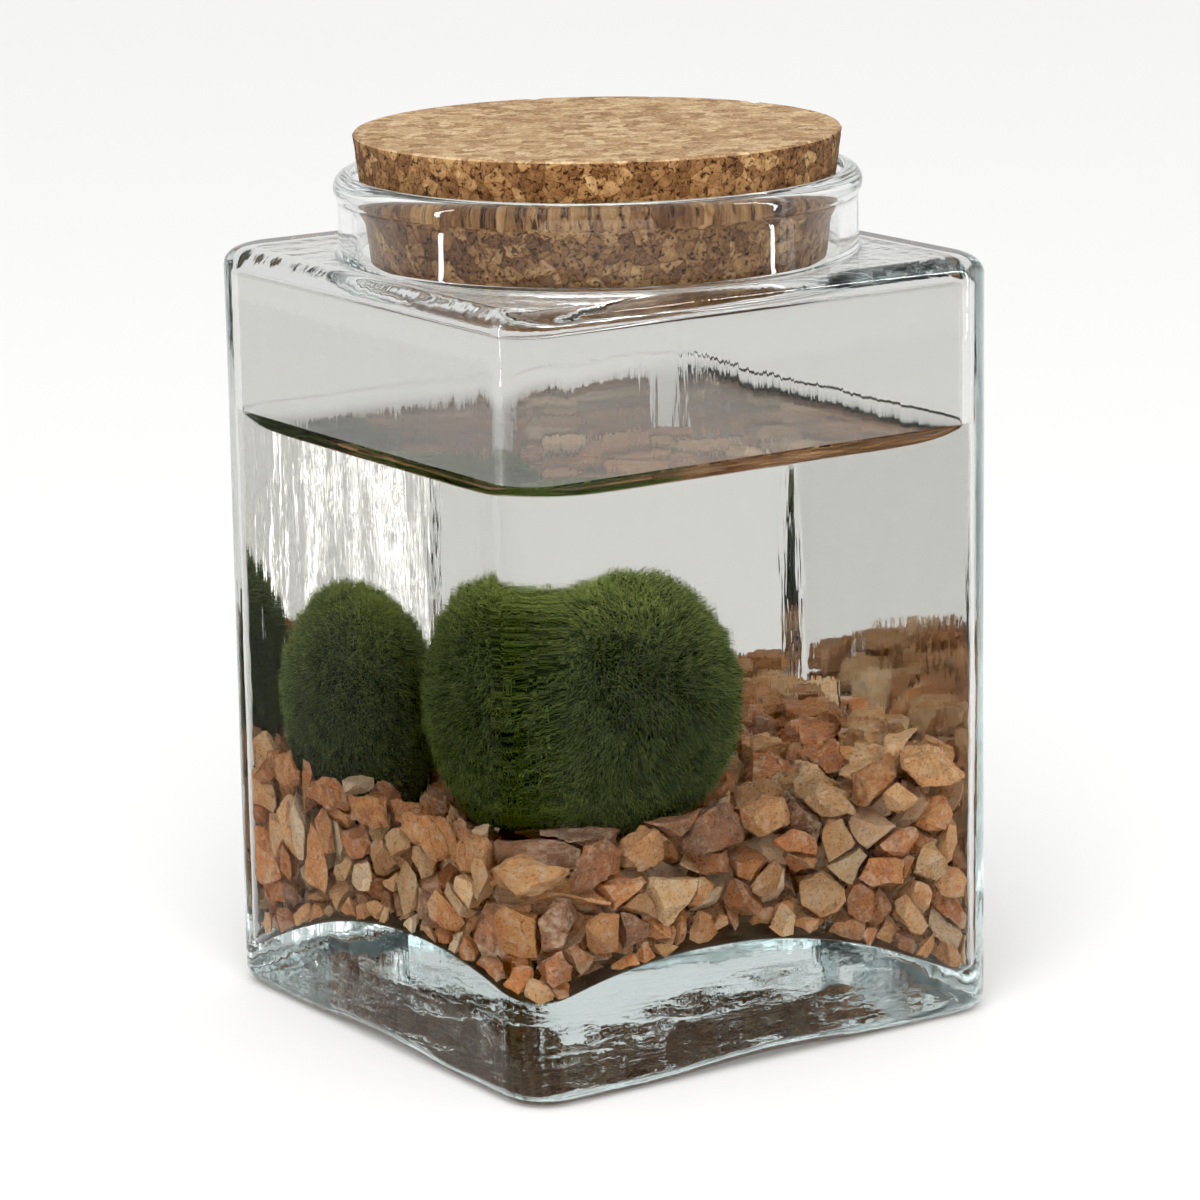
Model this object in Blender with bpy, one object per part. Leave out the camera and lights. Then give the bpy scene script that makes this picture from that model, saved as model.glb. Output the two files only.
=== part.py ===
"""Two marimo moss balls on a bed of gravel under water, in a square glass jar with a cork stopper.

Metres, +Z up. The origin is the centre of the jar's underside. The jar's flat sides face +X, -X, +Y and -Y.
"""

import math

import bmesh
import bpy
import numpy as np
from mathutils import Vector, noise

MM = 0.001

# Driving dimensions of the jar
JAR_HALF = 50 * MM
JAR_CORNER = 8 * MM
WALL = 3.5 * MM
INNER_CORNER = 3.8 * MM
FOOT_EDGE = 3.4 * MM
FOOT_ARCH = 1.0 * MM
ARCH_HALF = 24 * MM
ARCH_START = 32 * MM
ARCH_BLEND = 16 * MM
SHOULDER_Z = 135.4 * MM
SHOULDER_EDGE = 3.4 * MM
SHOULDER_THINNING = 1.6 * MM
NECK_FILLET = 0.7 * MM
NECK_RADIUS = 45.3 * MM
BORE_RADIUS = 42.1 * MM
LIP_RADIUS = 46.0 * MM
LIP_TOP = 149.8 * MM
LIP_BEAD = 2.7 * MM

# The thick glass floor is a dome, highest near the front corner
DOME_RADIUS = 110 * MM
DOME_TOP = 26.5 * MM
DOME_CENTRE = (-13 * MM, -13 * MM)
FLOOR_LEAST = 5 * MM
FLOOR_BLEND = 4 * MM

# The stopper
CORK_TOP = 156.5 * MM
CORK_HEIGHT = 22.5 * MM
CORK_TOP_RADIUS = 42.6 * MM
CORK_BOTTOM_RADIUS = 39.6 * MM

# What the jar holds
WATER_LEVEL = 103.5 * MM
LARGE_BALL = Vector((-17.5, -22.0, 62.0)) * MM
LARGE_RADIUS = 24.1 * MM
SMALL_BALL = Vector((-22.5, 23.6, 53.5)) * MM
SMALL_RADIUS = 22.2 * MM
# How much higher than a sphere's each ball's upper half stands
LARGE_RISE = 0.03
SMALL_RISE = 0.13
BALL_LUMPS = 1.1 * MM
GRAVEL_HEIGHT = 48.3 * MM
GRAVEL_RISE = (0.075, 0.045)
MOUND_CENTRE = (15 * MM, 42 * MM)
MOUND_WIDTH = 26 * MM
MOUND_HEIGHT = 4.5 * MM
STONE_LAYER = 7.6 * MM
STONE_ROWS = 8
STONE_COLUMNS = 8
STONE_LEAST = 5.8 * MM
STONE_GAP = 0.5 * MM
STONE_TILT = math.radians(28)
STONE_STAGGER = 0.18
STONE_SHAKE = 0.25
STONE_SUNK = (0.4, 0.6)
STONE_FACETS = 3
FACET_LEAN = (22, 48)
FACET_DISTANCE = (3.0 * MM, 4.6 * MM)
TOP_LUMPS = 1.4 * MM
TOP_LUMPS_PER_METRE = 190

# Clearance that keeps neighbouring solids apart
GAP = 0.3 * MM
BED_GAP = 0.6 * MM

# Sides of the bed: chips that lean on the glass, with hollows between them
BED_LEVELS = 5
SIDE_LUMPS = 5.0 * MM
SIDE_LUMP_PITCH = 14 * MM

INNER_HALF = JAR_HALF - WALL
BALLS = ((LARGE_BALL, LARGE_RADIUS, LARGE_RISE), (SMALL_BALL, SMALL_RADIUS, SMALL_RISE))

# Directions of the points of each level of the jar: even steps along a side, and three in each corner
STEPS_IN_HALF_SIDE = 4.9
SIDE_STEPS = [math.degrees(math.atan(step / STEPS_IN_HALF_SIDE)) for step in range(5)]
QUARTER = SIDE_STEPS + [42.5, 45, 47.5] + [90 - step for step in reversed(SIDE_STEPS[1:])]
ANGLES = [math.radians(90 * quarter + step) for quarter in range(4) for step in QUARTER]


def clear_scene():
    for obj in list(bpy.data.objects):
        bpy.data.objects.remove(obj, do_unlink=True)


def material(name, color, roughness, transmission=0.0, ior=1.45):
    made = bpy.data.materials.new(name)
    made.use_nodes = True
    shader = made.node_tree.nodes["Principled BSDF"]
    shader.inputs["Base Color"].default_value = (*color, 1)
    shader.inputs["Roughness"].default_value = roughness
    shader.inputs["Metallic"].default_value = 0.0
    shader.inputs["Transmission Weight"].default_value = transmission
    shader.inputs["IOR"].default_value = ior
    made.diffuse_color = (*color, 1)
    return made


def add_object(name, bm, finish, smooth=False):
    """Turn a bmesh into a named object whose faces point out."""
    bmesh.ops.recalc_face_normals(bm, faces=bm.faces)
    mesh = bpy.data.meshes.new(name)
    bm.to_mesh(mesh)
    bm.free()
    mesh.materials.append(finish)
    if smooth:
        mesh.shade_smooth()
        mesh.set_sharp_from_angle(angle=math.radians(40))
    obj = bpy.data.objects.new(name, mesh)
    bpy.context.collection.objects.link(obj)
    return obj


def difference(obj, cutter):
    cut = obj.modifiers.new("cut " + cutter.name, "BOOLEAN")
    cut.operation = "DIFFERENCE"
    cut.solver = "EXACT"
    cut.object = cutter


def square_radius(angle, half, corner):
    """Distance from the axis to a square with rounded corners, in the direction of angle."""
    turn = angle % (math.pi / 2)
    turn = min(turn, math.pi / 2 - turn)
    centre = half - corner
    if math.tan(turn) <= centre / half:
        return half / math.cos(turn)
    along = centre * (math.cos(turn) + math.sin(turn))
    return along + math.sqrt(max(along**2 - 2 * centre**2 + corner**2, 0.0))


def square_ring(half, corner):
    radii = [square_radius(angle, half, corner) for angle in ANGLES]
    return [(radius * math.cos(angle), radius * math.sin(angle)) for radius, angle in zip(radii, ANGLES)]


def glass_floor(x, y):
    """Height of the jar's inside floor: a dome that levels out before the glass gets thin."""
    away = (x - DOME_CENTRE[0]) ** 2 + (y - DOME_CENTRE[1]) ** 2
    dome = DOME_TOP - DOME_RADIUS + math.sqrt(DOME_RADIUS**2 - away)
    over = dome - FLOOR_LEAST
    return FLOOR_LEAST + 0.5 * (over + math.sqrt(over**2 + FLOOR_BLEND**2))


def foot_arch(x, y):
    """How far the middle of each side stands clear of what the jar rests on."""
    reach = max(abs(x), abs(y))
    across = min(abs(x), abs(y))
    along = max(0.0, 1 - (across / ARCH_HALF) ** 2)
    inward = min(max((reach - ARCH_START) / ARCH_BLEND, 0.0), 1.0)
    return FOOT_ARCH * along**2 * inward**2 * (3 - 2 * inward)


def skin_rings(bm, rings):
    """Join rings of vertices one after another with four-sided faces."""
    for lower, upper in zip(rings, rings[1:]):
        for here in range(len(lower)):
            ahead = (here + 1) % len(lower)
            bm.faces.new((lower[here], lower[ahead], upper[ahead], upper[here]))


def close_ring(bm, ring, centre):
    tip = bm.verts.new(centre)
    for here in range(len(ring)):
        bm.faces.new((ring[here], ring[(here + 1) % len(ring)], tip))


def mixed(low, high, share):
    return low + (high - low) * share


def shoulder(half, corner, edge, height, neck, turns):
    """From a square wall's top, over a rounded edge and the flat shoulder, to the foot of a round neck."""
    levels = []
    for turn in turns:
        short = edge * (1 - math.cos(math.radians(turn)))
        levels.append((height - edge * (1 - math.sin(math.radians(turn))), half - short, corner))
    foot = neck + NECK_FILLET
    for share in (0.35, 0.7, 1.0):
        levels.append((height, mixed(half - edge, foot, share), mixed(corner, foot, share)))
    levels.append((height + NECK_FILLET, neck, neck))
    return levels


def jar_outside():
    """Levels of the outside from the foot to the top of the neck: height, half width, corner radius."""
    levels = []
    for turn in (15, 45, 90):
        short = FOOT_EDGE * (1 - math.sin(math.radians(turn)))
        height = FOOT_EDGE * (1 - math.cos(math.radians(turn)))
        levels.append((height, JAR_HALF - short, JAR_CORNER - 0.6 * short))
    return levels + shoulder(JAR_HALF, JAR_CORNER, SHOULDER_EDGE, SHOULDER_Z, NECK_RADIUS, (0, 30, 60, 90))


def lip():
    """The rolled lip, from its outside over the top and into the bore."""
    middle = LIP_RADIUS - LIP_BEAD
    levels = []
    for turn in (-40, 0, 35, 65, 90, 130, 180):
        reach = LIP_BEAD if turn < 90 else middle - BORE_RADIUS
        radius = middle + reach * math.cos(math.radians(turn))
        levels.append((LIP_TOP - LIP_BEAD * (1 - math.sin(math.radians(turn))), radius, radius))
    return levels


def jar_inside():
    """Levels of the inside from the bore's foot down to the straight walls, a wall's thickness in."""
    edge = SHOULDER_EDGE - SHOULDER_THINNING
    return shoulder(INNER_HALF, INNER_CORNER, edge, SHOULDER_Z - WALL, BORE_RADIUS, (0, 45, 90))[::-1]


# Rings of the jar's inside floor from the walls inward: half width, corner radius
FLOOR_RINGS = [(half * MM, corner * MM)
               for half, corner in ((45.6, 4.4), (42, 4.2), (33, 4), (22, 3.5), (11, 2.5))]
# Rings of the underside from the middle outward
BASE_RINGS = [(half * MM, corner * MM) for half, corner in ((16, 3), (32, 5), (41, 6))]
FLOOR_FILLET = 1.6 * MM


def add_ring(bm, half, corner, height):
    """A ring of vertices whose height is a number or a function of x and y."""
    points = square_ring(half, corner)
    if callable(height):
        return [bm.verts.new((x, y, height(x, y))) for x, y in points]
    return [bm.verts.new((x, y, height)) for x, y in points]


def make_jar(glass):
    bm = bmesh.new()
    rings = [add_ring(bm, half, corner, foot_arch) for half, corner in BASE_RINGS]
    for height, half, corner in jar_outside() + lip() + jar_inside():
        lift = max(0.0, 1 - height / (2.2 * FOOT_EDGE))
        rings.append(add_ring(bm, half, corner, lambda x, y: height + lift * foot_arch(x, y)))
    rings.append(add_ring(bm, INNER_HALF, INNER_CORNER, lambda x, y: glass_floor(x, y) + FLOOR_FILLET))
    rings += [add_ring(bm, half, corner, glass_floor) for half, corner in FLOOR_RINGS]
    skin_rings(bm, rings)
    close_ring(bm, rings[0], (0, 0, 0))
    close_ring(bm, rings[-1], (0, 0, glass_floor(0, 0)))
    return add_object("jar", bm, glass, smooth=True)


CORK_SIDES = 40
CORK_EDGE = 0.5 * MM


def make_cork(cork):
    bottom = CORK_TOP - CORK_HEIGHT
    slope = (CORK_TOP_RADIUS - CORK_BOTTOM_RADIUS) / CORK_HEIGHT
    profile = (
        (bottom, CORK_BOTTOM_RADIUS - CORK_EDGE),
        (bottom + CORK_EDGE, CORK_BOTTOM_RADIUS + slope * CORK_EDGE),
        (CORK_TOP - CORK_EDGE, CORK_TOP_RADIUS - slope * CORK_EDGE),
        (CORK_TOP, CORK_TOP_RADIUS - CORK_EDGE),
    )
    bm = bmesh.new()
    rings = []
    for height, radius in profile:
        turns = [2 * math.pi * side / CORK_SIDES for side in range(CORK_SIDES)]
        rings.append([bm.verts.new((radius * math.cos(t), radius * math.sin(t), height)) for t in turns])
    skin_rings(bm, rings)
    close_ring(bm, rings[0], (0, 0, bottom))
    close_ring(bm, rings[-1], (0, 0, CORK_TOP))
    return add_object("cork_stopper", bm, cork, smooth=True)


BALL_SEGMENTS = 26
BALL_RINGS = 15
# A faceted ball's flat sides lie inside its radius by about this factor
FACET_REACH = math.cos(math.pi / BALL_SEGMENTS) ** 2


def raise_upper_half(bm, rise):
    for vert in bm.verts:
        if vert.co.z > 0:
            vert.co.z *= 1 + rise


def make_ball(name, centre, radius, rise, moss, seed):
    """A lumpy ball that nowhere passes its radius, but for its raised upper half."""
    bm = bmesh.new()
    bmesh.ops.create_uvsphere(bm, u_segments=BALL_SEGMENTS, v_segments=BALL_RINGS, radius=radius)
    shift = Vector((seed, 2 * seed, -seed))
    for vert in bm.verts:
        way = vert.co.normalized()
        lump = noise.noise(way * 1.6 + shift) + 0.5 * noise.noise(way * 4 + shift)
        vert.co = way * (radius - BALL_LUMPS * min(max(0.5 - lump, 0.0), 1.0))
    raise_upper_half(bm, rise)
    obj = add_object(name, bm, moss, smooth=True)
    obj.location = centre
    return obj


def ball_cutter(name, centre, radius, rise):
    """A ball that is larger than a moss ball by the clearance, to cut its pocket."""
    bm = bmesh.new()
    grown = (radius + GAP) / FACET_REACH
    bmesh.ops.create_uvsphere(bm, u_segments=BALL_SEGMENTS, v_segments=BALL_RINGS, radius=grown)
    raise_upper_half(bm, rise)
    bmesh.ops.recalc_face_normals(bm, faces=bm.faces)
    mesh = bpy.data.meshes.new(name)
    bm.to_mesh(mesh)
    bm.free()
    obj = bpy.data.objects.new(name, mesh)
    obj.location = centre
    obj.hide_render = True
    obj.display_type = "WIRE"
    bpy.context.collection.objects.link(obj)
    return obj


def gravel_top(x, y):
    """Height of the gravel's surface, which rises to the back and the right."""
    away = (x - MOUND_CENTRE[0]) ** 2 + (y - MOUND_CENTRE[1]) ** 2
    mound = MOUND_HEIGHT * math.exp(-away / (2 * MOUND_WIDTH**2))
    return GRAVEL_HEIGHT + GRAVEL_RISE[0] * x + GRAVEL_RISE[1] * y + mound


def gravel_slope(x, y):
    """The surface's upward normal."""
    step = 1 * MM
    rise_x = (gravel_top(x + step, y) - gravel_top(x - step, y)) / (2 * step)
    rise_y = (gravel_top(x, y + step) - gravel_top(x, y - step)) / (2 * step)
    return Vector((-rise_x, -rise_y, 1)).normalized()


def bed_top(x, y):
    """Height of the bed under the top layer of stones, with dents between the lumps."""
    dent = TOP_LUMPS * (0.5 + 0.5 * noise.noise(Vector((x, y, 0)) * TOP_LUMPS_PER_METRE))
    return gravel_top(x, y) - STONE_LAYER - GAP - dent


def side_dent(point):
    """How far the bed's side lies off the glass: nothing at a chip's middle, and a hollow between chips."""
    distances, _ = noise.voronoi(point / SIDE_LUMP_PITCH)
    return SIDE_LUMPS * min(distances[0], 1.0) ** 1.5


# Rings of the bed's top, as shares of its half width
TOP_SHARES = (0.82, 0.66, 0.5, 0.34, 0.18)


def make_gravel_bed(stone):
    """The chips under the top layer as one lumpy form. Its bottom repeats the rings of the glass floor."""
    bm = bmesh.new()
    half = INNER_HALF - GAP
    lift = FLOOR_FILLET + BED_GAP
    foot = [Vector((x, y, glass_floor(x, y) + lift)) for x, y in square_ring(half, INNER_CORNER)]
    sides = [[bm.verts.new(low) for low in foot]]
    for level in range(1, BED_LEVELS + 1):
        ring = []
        for low in foot:
            point = low.lerp(Vector((low.x, low.y, bed_top(low.x, low.y))), level / BED_LEVELS)
            ring.append(bm.verts.new(point - Vector((low.x, low.y, 0)).normalized() * side_dent(point)))
        sides.append(ring)
    under = [add_ring(bm, *ring, lambda x, y: glass_floor(x, y) + BED_GAP) for ring in FLOOR_RINGS]
    over = [add_ring(bm, half * share, INNER_CORNER * share, bed_top) for share in TOP_SHARES]
    skin_rings(bm, [sides[0]] + under)
    skin_rings(bm, sides + over)
    close_ring(bm, under[-1], (0, 0, glass_floor(0, 0) + BED_GAP))
    close_ring(bm, over[-1], (0, 0, bed_top(0, 0)))
    return add_object("gravel_bed", bm, stone)


def make_water(water):
    bm = bmesh.new()
    shares = (0.3, 0.65, 1.0)
    half = INNER_HALF - GAP
    rings = [add_ring(bm, half * share, INNER_CORNER * share, lambda x, y: gravel_top(x, y) + GAP)
             for share in shares]
    rings += [add_ring(bm, half * share, INNER_CORNER * share, WATER_LEVEL) for share in reversed(shares)]
    skin_rings(bm, rings)
    close_ring(bm, rings[0], (0, 0, gravel_top(0, 0) + GAP))
    close_ring(bm, rings[-1], (0, 0, WATER_LEVEL))
    return add_object("water", bm, water)


def pair_plane(seeds, first, second, turns):
    """The plane between two seeds, as the first one sees it. Both of them get the same plane."""
    low, high = min(first, second), max(first, second)
    normal = (seeds[high] - seeds[low]).normalized()
    normal = (normal + math.tan(STONE_TILT) * turns[(low * 7 + high * 3) % len(turns)]).normalized()
    middle = (seeds[low] + seeds[high]) / 2
    if first == high:
        normal = -normal
    return normal, normal.dot(middle) - STONE_GAP / 2


def corner_points(planes):
    """The corners of the convex body inside the planes. A plane is its normal and its distance."""
    normals = np.array([normal for normal, _ in planes])
    reaches = np.array([reach for _, reach in planes])
    found = []
    count = len(planes)
    for i in range(count):
        for j in range(i + 1, count):
            for k in range(j + 1, count):
                three = normals[[i, j, k]]
                if abs(np.linalg.det(three)) < 0.02:
                    continue
                point = np.linalg.solve(three, reaches[[i, j, k]])
                if np.all(normals @ point <= reaches + 1e-7):
                    found.append(point)
    return found


def stone_planes(number, seeds, turns, chance):
    """All the planes that bound one stone of the top layer."""
    seed = seeds[number]
    near = sorted(range(len(seeds)), key=lambda other: (seeds[other] - seed).length)[1:9]
    planes = [pair_plane(seeds, number, other, turns) for other in near]
    wall = INNER_HALF - GAP
    for way in (Vector((1, 0, 0)), Vector((-1, 0, 0)), Vector((0, 1, 0)), Vector((0, -1, 0))):
        planes.append((way, wall))
    rounding = (math.sqrt(2) - 1) * INNER_CORNER + 3 * GAP
    for sx, sy in ((1, 1), (1, -1), (-1, 1), (-1, -1)):
        planes.append((Vector((sx, sy, 0)).normalized(), wall * math.sqrt(2) - rounding))
    up = gravel_slope(seed.x, seed.y)
    surface = Vector((seed.x, seed.y, gravel_top(seed.x, seed.y)))
    planes.append((up, up.dot(surface) - GAP))
    planes.append((-up, -up.dot(surface - up * STONE_LAYER) - GAP))
    for centre, radius, _ in BALLS:
        way = (centre - seed).normalized()
        planes.append((way, way.dot(centre) - radius - 2 * GAP))
    for facet in range(STONE_FACETS):
        turn = 2 * math.pi * (facet + chance.uniform(-0.3, 0.3)) / STONE_FACETS + number
        lean = math.radians(chance.uniform(*FACET_LEAN))
        way = Vector((math.sin(lean) * math.cos(turn), math.sin(lean) * math.sin(turn), math.cos(lean)))
        planes.append((way, way.dot(seed) + chance.uniform(*FACET_DISTANCE)))
    return planes


def make_stones(finishes):
    """The top layer of the gravel: angular chips, closely packed, clear of the walls and of the balls."""
    chance = np.random.default_rng(7)
    seeds = []
    for row in range(STONE_ROWS):
        for column in range(STONE_COLUMNS):
            stagger = STONE_STAGGER if row % 2 else -STONE_STAGGER
            shake_x = chance.uniform(-STONE_SHAKE, STONE_SHAKE)
            shake_y = chance.uniform(-STONE_SHAKE, STONE_SHAKE)
            x = (column + 0.5 + stagger + shake_x) * 2 * INNER_HALF / STONE_COLUMNS
            y = (row + 0.5 + shake_y) * 2 * INNER_HALF / STONE_ROWS
            sunk = STONE_LAYER * chance.uniform(*STONE_SUNK)
            x -= INNER_HALF
            y -= INNER_HALF
            seeds.append(Vector((x, y, gravel_top(x, y) - sunk)))
    turns = [Vector(way) for way in chance.uniform(-0.5, 0.5, (31, 3))]
    stones = []
    for number in range(len(seeds)):
        corners = corner_points(stone_planes(number, seeds, turns, chance))
        if len(corners) < 6 or np.ptp(corners, axis=0).min() < STONE_LEAST:
            continue
        bm = bmesh.new()
        for point in corners:
            bm.verts.new(point)
        bmesh.ops.remove_doubles(bm, verts=bm.verts, dist=0.9 * MM)
        hull = bmesh.ops.convex_hull(bm, input=bm.verts)
        inside = [item for item in hull["geom_interior"] if isinstance(item, bmesh.types.BMVert)]
        bmesh.ops.delete(bm, geom=inside, context="VERTS")
        name = "gravel_stone_%02d" % (len(stones) + 1)
        stones.append(add_object(name, bm, finishes[number % len(finishes)]))
    return stones


def main():
    clear_scene()
    glass = material("clear glass", (0.93, 0.97, 0.96), 0.03, transmission=1.0, ior=1.5)
    water = material("water", (0.97, 0.99, 0.98), 0.0, transmission=1.0, ior=1.33)
    cork = material("pressed cork", (0.52, 0.33, 0.17), 0.85)
    moss = material("green algae", (0.045, 0.11, 0.02), 0.95)
    bed = material("gravel", (0.46, 0.24, 0.12), 0.8)
    chips = [
        material("stone tan", (0.55, 0.31, 0.16), 0.75),
        material("stone orange brown", (0.46, 0.20, 0.08), 0.75),
        material("stone pale", (0.62, 0.44, 0.27), 0.75),
        material("stone grey brown", (0.33, 0.22, 0.17), 0.75),
    ]
    make_jar(glass)
    make_cork(cork)
    for name, ball, seed in zip(("moss_ball_large", "moss_ball_small"), BALLS, (3, 8)):
        make_ball(name, *ball, moss, seed)
    gravel = make_gravel_bed(bed)
    filling = make_water(water)
    for name, (centre, radius, rise) in zip(("large", "small"), BALLS):
        pocket = ball_cutter(name + " ball pocket", centre, radius, rise)
        difference(filling, pocket)
        if centre.z - radius < gravel_top(centre.x, centre.y) - STONE_LAYER:
            difference(gravel, pocket)
    make_stones(chips)


main()
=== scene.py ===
"""Two moss balls on gravel under water, in a square glass jar with a cork stopper. Metres, +Z up."""

import itertools
import math

import bmesh
import bpy
import numpy as np
from mathutils import Matrix, Vector, noise


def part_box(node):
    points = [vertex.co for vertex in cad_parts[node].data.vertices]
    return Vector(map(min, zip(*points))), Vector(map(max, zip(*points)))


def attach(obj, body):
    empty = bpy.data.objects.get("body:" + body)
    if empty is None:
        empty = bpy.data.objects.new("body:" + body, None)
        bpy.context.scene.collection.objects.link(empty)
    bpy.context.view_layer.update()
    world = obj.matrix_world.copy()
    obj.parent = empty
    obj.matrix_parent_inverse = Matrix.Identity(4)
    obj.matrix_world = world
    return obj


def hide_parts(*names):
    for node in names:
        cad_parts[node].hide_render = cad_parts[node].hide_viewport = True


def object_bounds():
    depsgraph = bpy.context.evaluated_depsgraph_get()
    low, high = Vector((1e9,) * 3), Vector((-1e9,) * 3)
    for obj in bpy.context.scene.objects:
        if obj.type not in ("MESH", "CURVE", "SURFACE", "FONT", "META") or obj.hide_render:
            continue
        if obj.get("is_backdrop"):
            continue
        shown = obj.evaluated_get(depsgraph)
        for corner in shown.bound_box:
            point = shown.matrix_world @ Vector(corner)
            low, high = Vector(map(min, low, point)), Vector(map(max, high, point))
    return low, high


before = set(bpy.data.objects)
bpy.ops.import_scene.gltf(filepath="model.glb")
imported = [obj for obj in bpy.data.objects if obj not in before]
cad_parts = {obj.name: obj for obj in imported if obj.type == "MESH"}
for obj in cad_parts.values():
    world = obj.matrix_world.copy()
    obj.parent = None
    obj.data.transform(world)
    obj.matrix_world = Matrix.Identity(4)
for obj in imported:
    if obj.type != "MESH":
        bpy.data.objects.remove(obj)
cad_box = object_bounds()


# The jar
# One piece of pressed clear glass: square with rounded corners, a thick domed bottom, and a shoulder
# that turns into a round neck with a rolled lip. Hand work left shallow waves in all its faces.

MM = 0.001
JAR_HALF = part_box("jar")[1].x
JAR_CORNER = 8 * MM
WALL = 3.5 * MM
INNER_HALF = JAR_HALF - WALL
INNER_CORNER = 5.2 * MM
FOOT_EDGE = 3.4 * MM
FOOT_ARCH = 1.0 * MM
ARCH_HALF = 24 * MM
ARCH_START = 32 * MM
ARCH_RUN = 16 * MM
SHOULDER_Z = 135.4 * MM
SHOULDER_EDGE = 3.4 * MM
SHOULDER_THINNING = 1.6 * MM
NECK_FILLET = 0.7 * MM
NECK_RADIUS = 45.3 * MM
BORE_RADIUS = 42.1 * MM
LIP_RADIUS = 46.0 * MM
LIP_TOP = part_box("jar")[1].z
LIP_BEAD = 2.7 * MM
DOME_RADIUS = 110 * MM
DOME_TOP = 26.5 * MM
DOME_CENTRE = (-13 * MM, -13 * MM)
FLOOR_LEAST = 5 * MM
FLOOR_BLEND = 4 * MM
FLOOR_FILLET = 1.6 * MM

# Directions of the points of a ring, close together in the four corners
CORNER_SPAN = math.radians(5.8)
SIDE_TURNS = np.linspace(CORNER_SPAN, math.pi / 2 - CORNER_SPAN, 32, endpoint=False)
CORNER_TURNS = np.linspace(-CORNER_SPAN, CORNER_SPAN, 18, endpoint=False)
QUARTER = np.concatenate([CORNER_TURNS, SIDE_TURNS]) + math.pi / 4
ANGLES = np.concatenate([QUARTER + side * math.pi / 2 for side in range(4)])


def square_radius(half, corner):
    """Distances from the axis to a square with rounded corners, in the directions of the ring's points."""
    turn = np.mod(ANGLES, math.pi / 2)
    turn = np.minimum(turn, math.pi / 2 - turn)
    centre = half - corner
    along = centre * (np.cos(turn) + np.sin(turn))
    rounded = along + np.sqrt(np.maximum(along**2 - 2 * centre**2 + corner**2, 0))
    return np.where(np.tan(turn) <= centre / half, half / np.cos(turn), rounded)


def ring(half, corner, height):
    """The points of one level. Its height is a number or a function of x and y."""
    radius = square_radius(half, corner)
    x = radius * np.cos(ANGLES)
    y = radius * np.sin(ANGLES)
    z = height(x, y) if callable(height) else np.full(len(x), height)
    return np.stack([x, y, z], axis=1)


def glass_floor(x, y):
    """Height of the jar's inside floor: a dome that levels out before the glass gets thin."""
    away = (x - DOME_CENTRE[0]) ** 2 + (y - DOME_CENTRE[1]) ** 2
    over = DOME_TOP - DOME_RADIUS + np.sqrt(DOME_RADIUS**2 - away) - FLOOR_LEAST
    return FLOOR_LEAST + 0.5 * (over + np.sqrt(over**2 + FLOOR_BLEND**2))


def foot_arch(x, y):
    """How far the middle of each side stands clear of what the jar rests on."""
    reach = np.maximum(abs(x), abs(y))
    across = np.minimum(abs(x), abs(y))
    along = np.maximum(0, 1 - (across / ARCH_HALF) ** 2)
    inward = np.clip((reach - ARCH_START) / ARCH_RUN, 0, 1)
    return FOOT_ARCH * along**2 * inward**2 * (3 - 2 * inward)


def mixed(low, high, share):
    return low + (high - low) * share


def shoulder(half, corner, edge, height, neck):
    """From a square wall's top, over a rounded edge and the flat shoulder, to the foot of a round neck."""
    levels = []
    for turn in np.radians(np.linspace(0, 90, 13)):
        short = edge * (1 - math.cos(turn))
        levels.append((height - edge * (1 - math.sin(turn)), half - short, corner))
    foot = neck + NECK_FILLET
    for share in np.linspace(0, 1, 13)[1:]:
        levels.append((height, mixed(half - edge, foot, share), mixed(corner, foot, share)))
    for turn in np.radians(np.linspace(0, 90, 6)[1:]):
        radius = foot - NECK_FILLET * math.sin(turn)
        levels.append((height + NECK_FILLET * (1 - math.cos(turn)), radius, radius))
    return levels


def outside_levels():
    """Height, half width and corner radius of the outside, from the foot to the neck's top."""
    levels = []
    for turn in np.radians(np.linspace(4, 90, 11)):
        short = FOOT_EDGE * (1 - math.sin(turn))
        levels.append((FOOT_EDGE * (1 - math.cos(turn)), JAR_HALF - short, JAR_CORNER - 0.6 * short))
    for height in np.linspace(FOOT_EDGE, SHOULDER_Z - SHOULDER_EDGE, 62)[1:-1]:
        levels.append((height, JAR_HALF, JAR_CORNER))
    levels += shoulder(JAR_HALF, JAR_CORNER, SHOULDER_EDGE, SHOULDER_Z, NECK_RADIUS)
    for height in np.linspace(SHOULDER_Z + NECK_FILLET, LIP_TOP - 1.8 * LIP_BEAD, 8)[1:]:
        levels.append((height, NECK_RADIUS, NECK_RADIUS))
    return levels


def lip_levels():
    """The rolled lip, from its outside over the top and into the bore."""
    middle = LIP_RADIUS - LIP_BEAD
    levels = []
    for turn in np.radians(np.linspace(-38, 180, 32)):
        reach = LIP_BEAD if turn < math.pi / 2 else middle - BORE_RADIUS
        radius = middle + reach * math.cos(turn)
        levels.append((LIP_TOP - LIP_BEAD * (1 - math.sin(turn)), radius, radius))
    return levels


def inside_levels():
    """The inside from the bore down to the top of the straight walls, a wall's thickness in."""
    foot = SHOULDER_Z - WALL
    edge = SHOULDER_EDGE - SHOULDER_THINNING
    heights = np.linspace(LIP_TOP - LIP_BEAD, foot, 10)[1:-1]
    levels = [(height, BORE_RADIUS, BORE_RADIUS) for height in heights]
    return levels + shoulder(INNER_HALF, INNER_CORNER, edge, foot, BORE_RADIUS)[::-1]


def outward(grid):
    """Unit normals of a grid of rings that runs up the outside and down the inside."""
    across = np.roll(grid, -1, axis=1) - np.roll(grid, 1, axis=1)
    up = np.gradient(grid, axis=0)
    normals = np.cross(across, up)
    return normals / np.maximum(np.linalg.norm(normals, axis=2, keepdims=True), 1e-12)


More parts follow.
